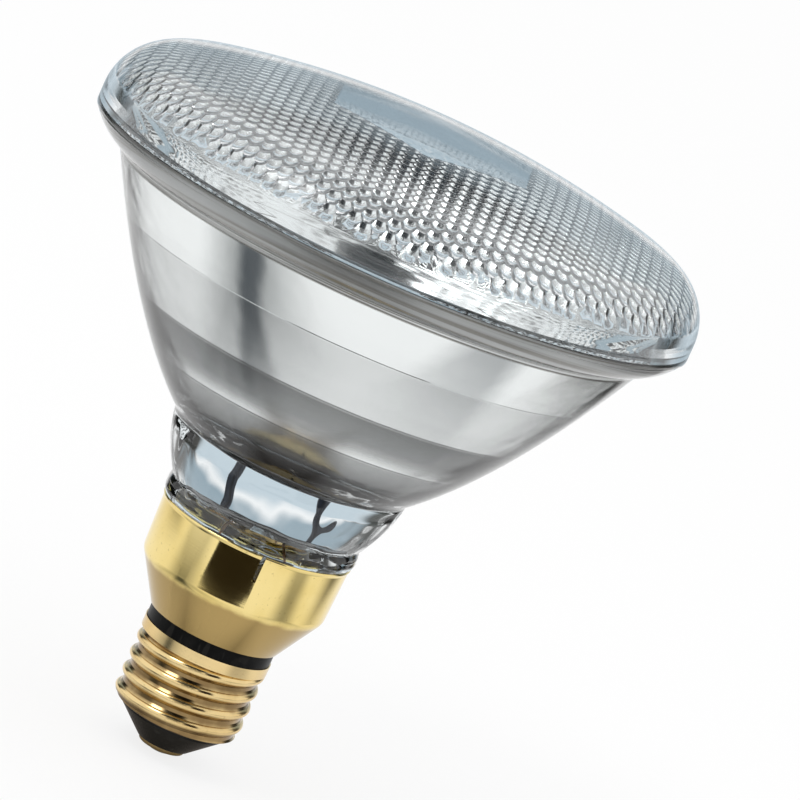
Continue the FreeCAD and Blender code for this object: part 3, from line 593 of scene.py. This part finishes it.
class LAMP_OT_lens(Operator):
    """Build the pressed lens with its honeycomb of bumps and its plain hexagon"""
    bl_idname = "lamp.lens"
    bl_label = "Lens"

    def execute(self, context):
        sizes = context.scene.lamp_lens
        form = LensForm(sizes)
        bm = bmesh.new()
        press_inner_face(bm, sizes, form)
        for vert in bm.verts:
            vert.co = form.wrap(vert.co)
        bore, seam = sizes.rim_radius - sizes.wall, sizes.seam + sizes.seam_gap
        margin = form.lean + (form.field_edge - form.crown_run) / form.corner
        rim, edge = sizes.rim_radius, sizes.edge
        profile = arc(form.axis, form.level, form.corner, math.pi / 2 - margin, 0, steps=8)
        profile += [(bore, seam), (rim - edge, seam), (rim, seam + edge)]
        profile += arc(form.axis, form.level, sizes.knuckle, 0, math.pi / 2 - form.lean, steps=26)
        profile += arc(0, form.centre, sizes.crown, math.pi / 2 - form.lean, math.pi / 2, steps=30)[1:]
        spin_profile(bm, profile)
        close_up(bm, CREASE)
        glass = clear_glass("lens_glass", context.scene.lamp_finish.lens, waviness=0.12)
        finish_piece(bm, "lens_glass", [glass], "lens")
        return {"FINISHED"}


# Reflector

def bowl_radius(sizes, level, vertex):
    """Radius of the parabola with its vertex at a level on the axis."""
    return math.sqrt(4 * sizes.focal_length * (level - vertex))


def bowl_band(sizes, low, high, vertex, steps=14, inset=0.0):
    """Points of one band of the bowl, from its low edge up. An inset moves the low edge inwards."""
    shares = [step / steps for step in range(steps + 1)]
    return [(bowl_radius(sizes, low + (high - low) * share, vertex) - inset * (1 - share),
             low + (high - low) * share) for share in shares]


def neck_profile(sizes):
    """From the middle of the floor's underside down the bore, round the foot and up over the bead."""
    corner, low = sizes.bore - sizes.floor_corner, sizes.floor - sizes.floor_corner
    foot, edge, rounding = sizes.neck_foot, sizes.neck_low - sizes.foot_round, sizes.foot_round
    bead_low = (sizes.bead_waist, sizes.bead_foot)
    bead_top = (sizes.bead_waist, sizes.bead_foot + sizes.bead_height)
    bead_middle = (sizes.bead_radius, sizes.bead_foot + sizes.bead_height / 2)
    under, over = sizes.bead_height * 0.6, sizes.bead_height * 0.8
    shoulder = (bowl_radius(sizes, sizes.shoulder, sizes.outer_vertex), sizes.shoulder)
    points = [(0, sizes.floor)]
    points += bow((corner, sizes.floor), (sizes.bore, low), -sizes.floor_corner, steps=6)
    points += [(sizes.bore, foot)]
    points += bow((edge, foot), (sizes.neck_low, foot + rounding), rounding, steps=5)
    points += [(sizes.neck_radius, sizes.bead_foot)]
    points += bow(bead_low, bead_middle, under, steps=6)
    points += bow(bead_middle, bead_top, over, steps=6)[1:]
    return points + bow(bead_top, shoulder, sizes.waist_bow, steps=14)[1:]


def bowl_profile(sizes):
    """The smooth outer face, from the shoulder up to the flange."""
    return bowl_band(sizes, sizes.shoulder, sizes.flange_level, sizes.outer_vertex, steps=48)[1:]


def flange_profile(sizes, lens):
    """The flange's curved underside, the rim and the seam, in to the mirror's edge."""
    rim, seam = lens.rim_radius, lens.seam
    foot = (bowl_radius(sizes, sizes.flange_level, sizes.outer_vertex) + sizes.flange_run,
            sizes.flange_level + sizes.flange_run / 2)
    points = bow(foot, (rim - sizes.edge, sizes.flange_face), sizes.flange_bow, steps=10)
    points += [(rim, sizes.flange_face + sizes.edge), (rim, seam - sizes.edge)]
    top = seam - lens.seam_gap
    return points + [(rim - sizes.edge, top), (bowl_radius(sizes, seam, sizes.inner_vertex), top)]


def mirror_profile(sizes, start):
    """The silvered face from the seam down its stepped bands to the vertex."""
    points, vertex = [start], sizes.inner_vertex
    levels = [start[1], sizes.high_step, sizes.middle_step, sizes.low_step]
    for high, low in zip(levels, levels[1:]):
        points += bowl_band(sizes, low, high, vertex, inset=sizes.band_step)[::-1]
    points += bowl_band(sizes, sizes.shoulder, sizes.low_step, vertex)[::-1]
    depth, steps = sizes.shoulder - vertex, 10
    levels = [vertex + depth * (1 - count / steps) ** 2 for count in range(1, steps + 1)]
    return points + [(bowl_radius(sizes, level, vertex), level) for level in levels]


class LAMP_OT_reflector(Operator):
    """Build the pressed bowl with its flange and clear neck, silvered on the inner face"""
    bl_idname = "lamp.reflector"
    bl_label = "Reflector"

    def execute(self, context):
        sizes, lens = context.scene.lamp_bowl, context.scene.lamp_lens
        tones = context.scene.lamp_finish
        bm = bmesh.new()
        outer = neck_profile(sizes) + bowl_profile(sizes) + flange_profile(sizes, lens)
        spin_profile(bm, outer)
        spin_profile(bm, mirror_profile(sizes, outer[-1]), slot=1)
        close_up(bm, BOWL_CREASE)
        glass = clear_glass("bowl_glass", tones.bowl, waviness=0.3, rippled=sizes.shoulder)
        silver = silver_coat(sizes, tones)
        finish_piece(bm, "reflector_glass", [glass, silver], "reflector")
        return {"FINISHED"}


# Skirt

def cut_slot(bm, turn, width, low):
    """Cut a slot through the wall from a level up to the lip, and close its two sides and its floor."""
    ahead = Vector((math.cos(turn), math.sin(turn), 0))
    aside = Vector((-ahead.y, ahead.x, 0))
    up = Vector((0, 0, 1))
    for place, way in ((aside * width / 2, aside), (-aside * width / 2, aside), (up * low, up)):
        near = [face for face in bm.faces if face.calc_center_median().dot(ahead) > 0
                and abs(face.calc_center_median().dot(aside)) < width * 2]
        edges = dict.fromkeys(edge for face in near for edge in face.edges)
        verts = dict.fromkeys(vert for face in near for vert in face.verts)
        bmesh.ops.bisect_plane(bm, geom=[*verts, *edges, *near], dist=WELD, plane_co=place, plane_no=way)
    middles = ((face, face.calc_center_median()) for face in bm.faces)
    gone = [face for face, middle in middles
            if middle.z > low and middle.dot(ahead) > 0 and abs(middle.dot(aside)) < width / 2]
    bmesh.ops.delete(bm, geom=gone, context="FACES")
    rim = [edge for edge in bm.edges if edge.is_boundary]
    floor = [edge for edge in rim if all(abs(vert.co.z - low) < NEAR for vert in edge.verts)]
    for sign in (1, -1):
        side = [edge for edge in rim if all(abs(vert.co.dot(aside) * sign - width / 2) < NEAR
                                            for vert in edge.verts)]
        foot = dict.fromkeys(vert for edge in side for vert in edge.verts if abs(vert.co.z - low) < NEAR)
        joint = bmesh.ops.contextual_create(bm, geom=list(foot))["edges"]
        floor += joint
        bmesh.ops.edgeloop_fill(bm, edges=side + joint)
    bmesh.ops.edgeloop_fill(bm, edges=floor)


class LAMP_OT_skirt(Operator):
    """Spin the brass skirt: a cone, a rounded knee, an almost straight side and a thin slotted lip"""
    bl_idname = "lamp.skirt"
    bl_label = "Skirt"

    def execute(self, context):
        sizes, tones = context.scene.lamp_skirt, context.scene.lamp_finish
        wall, lip, hole = sizes.wall, sizes.lip, sizes.foot_radius - sizes.wall * 2
        knee, side = (sizes.knee_radius, sizes.knee_level), (sizes.low_radius, sizes.side_level)
        lip_foot, lip_middle = sizes.top - lip * 3, (sizes.radius + lip, sizes.top - lip * 1.5)
        profile = [(hole, sizes.foot)] + straight((sizes.foot_radius, sizes.foot), knee)
        profile += bow(knee, side, sizes.corner, steps=10)[1:]
        profile += straight(side, (sizes.radius, lip_foot))[1:]
        profile += bow(lip_middle, (sizes.radius, sizes.top), lip * 1.6, steps=6)
        profile += [(sizes.radius - wall, sizes.top), (sizes.low_radius - wall, sizes.side_level),
                    (sizes.knee_radius - sizes.cone_wall, sizes.knee_level),
                    (sizes.foot_radius - sizes.cone_wall, sizes.foot + wall), (hole, sizes.foot + wall),
                    (hole, sizes.foot)]
        bm = bmesh.new()
        spin_profile(bm, profile)
        bmesh.ops.remove_doubles(bm, verts=bm.verts, dist=WELD)
        for count in range(sizes.slot_count):
            cut_slot(bm, sizes.slot_turn + FULL_TURN * count / sizes.slot_count, sizes.slot_width,
                     sizes.top - sizes.slot_depth)
        close_up(bm, CREASE)
        # Painted shade: the cone, inside the knee, takes the dark cone tone
        painted_shade_by_radius = (sizes.knee_radius - 0.44 * MM, sizes.low_radius - 0.05 * MM, tones.cone)
        metal = brass("skirt_brass", tones.skirt, tones.skirt_tarnish, roughness=0.04, lines=60, relief=0.05,
                      painted_shade_by_radius=painted_shade_by_radius)
        finish_piece(bm, "skirt_metal", [metal], "skirt")
        return {"FINISHED"}


# Cap and inner parts

def dress(node, material):
    """Give a CAD node its material."""
    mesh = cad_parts[node].data
    mesh.materials.clear()
    mesh.materials.append(material)


class LAMP_OT_cap(Operator):
    """Finish the screw shell, the black insulators and the contacts"""
    bl_idname = "lamp.cap"
    bl_label = "Cap"

    def execute(self, context):
        tones = context.scene.lamp_finish
        # Painted shade in the thread's grooves, below the crests
        painted_shade_by_radius = (12.0 * MM, 13.0 * MM, tones.groove)
        shell = brass("shell_brass", tones.shell, tones.shell_tarnish, roughness=0.12, lines=40, painted_shade_by_radius=painted_shade_by_radius)
        eyelet = brass("contact_brass", tones.contact, tones.contact_tarnish, roughness=0.25, lines=20)
        tin = drawn_metal("solder_tin", tones.solder, tones.solder_dull, roughness=0.3)
        dress("screw_shell", shell)
        dress("centre_contact", eyelet)
        dress("skirt_ring", moulded_black("black_ring", tones.ring, roughness=0.3, gloss=0.08))
        dress("base_insulator", moulded_black("black_insulator", tones.insulator, roughness=0.12, gloss=0.2))
        dress("centre_solder", tin)
        dress("side_solder", tin)
        return {"FINISHED"}


class LAMP_OT_inside(Operator):
    """Finish the filament, its posts and ferrules, the exhaust tube and the lead wires"""
    bl_idname = "lamp.inside"
    bl_label = "Inner parts"

    def execute(self, context):
        tones = context.scene.lamp_finish
        coil = drawn_metal("tungsten", tones.tungsten, tones.tungsten_dull, roughness=0.35)
        nickel = drawn_metal("nickel", tones.nickel, tones.nickel_dull, roughness=0.2, seal=61 * MM)
        cup = drawn_metal("ferrule_metal", tones.ferrule, tones.ferrule_dull, roughness=0.35)
        copper = drawn_metal("lead_wire", tones.wire, tones.wire_dull, roughness=0.3)
        dress("filament", coil)
        for side in ("left", "right"):
            dress("post_" + side, nickel)
            dress("ferrule_" + side, cup)
        dress("centre_wire", copper)
        dress("side_wire", copper)
        dress("wire_sleeve", woven_sleeve(tones.sleeve, tones.sleeve_soiled))
        dress("exhaust_tube", clear_glass("tube_glass", tones.bowl, waviness=0.1))
        return {"FINISHED"}


# Studio

# Cards in the air: azimuth and elevation in degrees, distance, width, height, tone, soft edge
HUNG_CARDS = {
    "card_low": (180, -9, 0.75, 0.34, 0.14, (0.015, 0.015, 0.018), 0.12),
    "card_eye": (180, 11, 0.75, 0.36, 0.22, (0.010, 0.010, 0.012), 0.12),
    "card_above": (184, 47, 0.75, 0.62, 0.80, (0.008, 0.009, 0.011), 0.2),
    "card_back": (0, 30, 0.9, 0.6, 0.35, (0.02, 0.02, 0.025), 0.3),
    "card_haze": (0, 20, 0.45, 0.90, 0.24, (0.34, 0.43, 0.49), 0.2),
    "card_neck": (0, -8, 0.47, 0.90, 0.24, (0.60, 0.69, 0.75), 0.2),
    "card_left": (-45, 5, 0.8, 0.42, 0.8, (0.04, 0.045, 0.04), 0.3),
    "card_right": (45, 5, 0.8, 0.48, 0.8, (0.04, 0.04, 0.035), 0.3),
    "card_thread": (148, 10, 0.4, 0.22, 0.5, (0.02, 0.014, 0.01), 0.15),
}

# Cards on the floor: across, along, turn in degrees, width, length, tone, soft edge, then level, flare
LAID_CARDS = {
    # Painted shade on the floor, met only by mirrored lines of sight: the card under the lamp and the two
    # shade cards
    "card_painted_shade_under": (0, 0, 0, 0.065, 0.05, (0.18, 0.16, 0.14), 0.4),
    "card_streak": (-0.070, -0.046, -57, 0.034, 0.13, (0.09, 0.10, 0.11), 0.4, 0.6 * MM),
    "card_shade": (-0.090, -0.058, -57, 0.13, 0.20, (0.36, 0.37, 0.37), 0.5, 0.45 * MM),
    "card_shade_right": (0.125, -0.050, 64, 0.10, 0.20, (0.36, 0.37, 0.38), 0.5, 0.45 * MM),
    "card_skirt": (-0.021, -0.170, 172.3, 0.128, 0.11, (0.02, 0.016, 0.01), 0.02, 0.3 * MM, 1.45),
    "card_beside": (-0.24, 0.14, 0, 0.20, 0.36, (0.04, 0.045, 0.04), 0.3),
    "card_far_side": (0.20, 0.16, 0, 0.20, 0.30, (0.05, 0.05, 0.045), 0.35),
}


def stage_object(name, bm, material):
    """Make the mesh a thing of the studio, which isn't part of the lamp."""
    mesh = bpy.data.meshes.new(name)
    bm.to_mesh(mesh)
    bm.free()
    mesh.materials.append(material)
    item = bpy.data.objects.new(name, mesh)
    bpy.context.scene.collection.objects.link(item)
    return item


def floor_paint(tone):
    """A pale floor. Lines of sight see it white where nothing shades it, and it keeps the lamp's shadow."""
    paint = Paint("studio_floor")
    seen = paint.add("ShaderNodeLightPath", output="Is Camera Ray")
    mirrored = paint.add("ShaderNodeLightPath", output="Is Glossy Ray")
    through = paint.add("ShaderNodeLightPath", output="Is Transmission Ray")
    plain = paint.add("ShaderNodeBsdfDiffuse", {}, {"Color": (*tone, 1)})
    glow = paint.add("ShaderNodeEmission", {}, {"Color": (1, 1, 1, 1), "Strength": 1.0})
    amount = (seen * 0.8 + mirrored * 0.7 + through * 0.6).math("MINIMUM", 1.0)
    mixed = paint.add("ShaderNodeMixShader", {}, {0: amount, 1: plain, 2: glow})
    paint.add("ShaderNodeOutputMaterial", {}, {"Surface": mixed})
    return paint.material


def card_paint(name, tone, edge):
    """A studio card of one tone. Its edge fades over a share of its width."""
    paint = Paint(name)
    place = paint.add("ShaderNodeTexCoord", output="UV")
    across = paint.add("ShaderNodeSeparateXYZ", {}, {0: place}, output="X")
    along = paint.add("ShaderNodeSeparateXYZ", {}, {0: place}, output="Y")
    near = across.math("MINIMUM", 1 - across).math("MINIMUM", along.math("MINIMUM", 1 - along))
    mask = paint.span(near, 0.0, edge)
    clear = paint.add("ShaderNodeBsdfTransparent")
    dark = paint.add("ShaderNodeEmission", {}, {"Color": (*tone, 1), "Strength": 1.0})
    mixed = paint.add("ShaderNodeMixShader", {}, {0: mask, 1: clear, 2: dark})
    paint.add("ShaderNodeOutputMaterial", {}, {"Surface": mixed})
    return paint.material


def put_card(name, place, width, height, tone, edge, flare=1.0):
    """Put a card at a place. Only mirrored lines of sight and those through glass meet it."""
    bm = bmesh.new()
    bm.loops.layers.uv.new("card")
    bmesh.ops.create_grid(bm, x_segments=1, y_segments=1, size=0.5, calc_uvs=True,
                          matrix=Matrix.Diagonal((width, height, 1, 1)))
    bmesh.ops.scale(bm, vec=(flare, 1, 1), verts=[vert for vert in bm.verts if vert.co.y > 0])
    bm.transform(place)
    card = stage_object(name, bm, card_paint(name, tone, edge))
    card.visible_camera = card.visible_diffuse = card.visible_shadow = False


def hang_card(name, level, azimuth, elevation, distance, width, height, tone, edge):
    """Hang a card that faces a level of the axis. Azimuth 0 is behind the lamp and 90 is to its right."""
    turn, lift = math.radians(azimuth), math.radians(elevation)
    out = Vector((math.sin(turn) * math.cos(lift), math.cos(turn) * math.cos(lift), math.sin(lift)))
    facing = (-out).to_track_quat("Z", "Y").to_matrix().to_4x4()
    place = Matrix.Translation(Vector((0, 0, level)) + out * distance) @ facing
    put_card(name, place, width, height, tone, edge)


def lay_card(name, across, along, turn, width, length, tone, edge, level=0.3 * MM, flare=1.0):
    """Lay a card on the floor, turned about its own middle. A flare widens its far end."""
    place = Matrix.Translation((across, along, level)) @ Matrix.Rotation(math.radians(turn), 4, "Z")
    put_card(name, place, width, length, tone, edge, flare)


def hang_key(settings):
    """Hang the soft lamp in front, to the left and above."""
    place = Vector(settings.key_place)
    facing = (place - Vector(settings.key_target)).to_track_quat("Z", "Y").to_matrix().to_4x4()
    light = bpy.data.lights.new("key_light", "AREA")
    light.shape, light.size, light.energy = "DISK", settings.key_size, settings.key_power
    key = bpy.data.objects.new("key_light", light)
    key.matrix_world = Matrix.Translation(place) @ facing
    bpy.context.scene.collection.objects.link(key)


def aim_camera(settings):
    """Set the camera to the photograph's view: a long lens, rolled, a little off the lamp's middle."""
    aim = Vector((0, 0, settings.aim_level))
    tilt, lean = settings.elevation, settings.roll
    ahead = Vector((0, math.cos(tilt), -math.sin(tilt)))
    right = Vector((1, 0, 0))
    above = right.cross(ahead)
    turned_right = right * math.cos(lean) + above * math.sin(lean)
    turned_up = above * math.cos(lean) - right * math.sin(lean)
    facing = Matrix((turned_right, turned_up, -ahead)).transposed()
    spread = settings.film / settings.focus
    towards = Vector(((settings.aim_across - 0.5) * spread, (0.5 - settings.aim_down) * spread, -1))
    swing = towards.rotation_difference(Vector((0, 0, -1))).to_matrix()
    data = bpy.data.cameras.new("camera")
    data.sensor_width, data.lens = settings.film, settings.focus
    data.clip_start, data.clip_end = 0.05, 100
    camera = bpy.data.objects.new("camera", data)
    camera.matrix_world = Matrix.Translation(aim - ahead * settings.distance) @ (facing @ swing).to_4x4()
    bpy.context.scene.collection.objects.link(camera)
    bpy.context.scene.camera = camera


class LAMP_OT_stage(Operator):
    """Set up the white studio: floor, cards, soft light and the camera"""
    bl_idname = "lamp.stage"
    bl_label = "Studio"

    def execute(self, context):
        settings = context.scene.lamp_studio
        bm = bmesh.new()
        bmesh.ops.create_circle(bm, cap_ends=True, segments=64, radius=settings.floor_radius)
        stage_object("studio_floor", bm, floor_paint(settings.floor_colour))
        for name, card in HUNG_CARDS.items():
            hang_card(name, settings.card_level, *card)
        for name, card in LAID_CARDS.items():
            lay_card(name, *card)
        world = bpy.data.worlds.new("studio_world")
        world.use_nodes = True
        world.node_tree.nodes["Background"].inputs["Color"].default_value = (1, 1, 1, 1)
        context.scene.world = world
        context.scene.view_settings.view_transform = "Standard"
        hang_key(settings)
        aim_camera(settings)
        return {"FINISHED"}


class LAMP_PT_builder(Panel):
    bl_label = "Reflector lamp"
    bl_idname = "LAMP_PT_builder"
    bl_space_type = "VIEW_3D"
    bl_region_type = "UI"
    bl_category = "Lamp"

    def draw(self, context):
        for piece in PIECES:
            self.layout.operator(piece.bl_idname)
        for owner in GROUPS:
            group = getattr(context.scene, owner)
            column = self.layout.column()
            for name in group.__annotations__:
                column.prop(group, name)


PIECES = (LAMP_OT_stage, LAMP_OT_lens, LAMP_OT_reflector, LAMP_OT_skirt, LAMP_OT_cap, LAMP_OT_inside)
GROUPS = {"lamp_lens": LensSizes, "lamp_bowl": BowlSizes, "lamp_skirt": SkirtSizes,
          "lamp_finish": FinishColours, "lamp_studio": StudioSettings}


def register():
    for item in (*GROUPS.values(), *PIECES, LAMP_PT_builder):
        bpy.utils.register_class(item)
    for name, group in GROUPS.items():
        setattr(bpy.types.Scene, name, PointerProperty(type=group))


def unregister():
    for name in GROUPS:
        delattr(bpy.types.Scene, name)
    for item in (LAMP_PT_builder, *reversed(PIECES), *reversed(GROUPS.values())):
        bpy.utils.unregister_class(item)


def main():
    register()
    for piece in PIECES:
        group, name = piece.bl_idname.split(".")
        getattr(getattr(bpy.ops, group), name)()


if __name__ == "__main__":
    main()
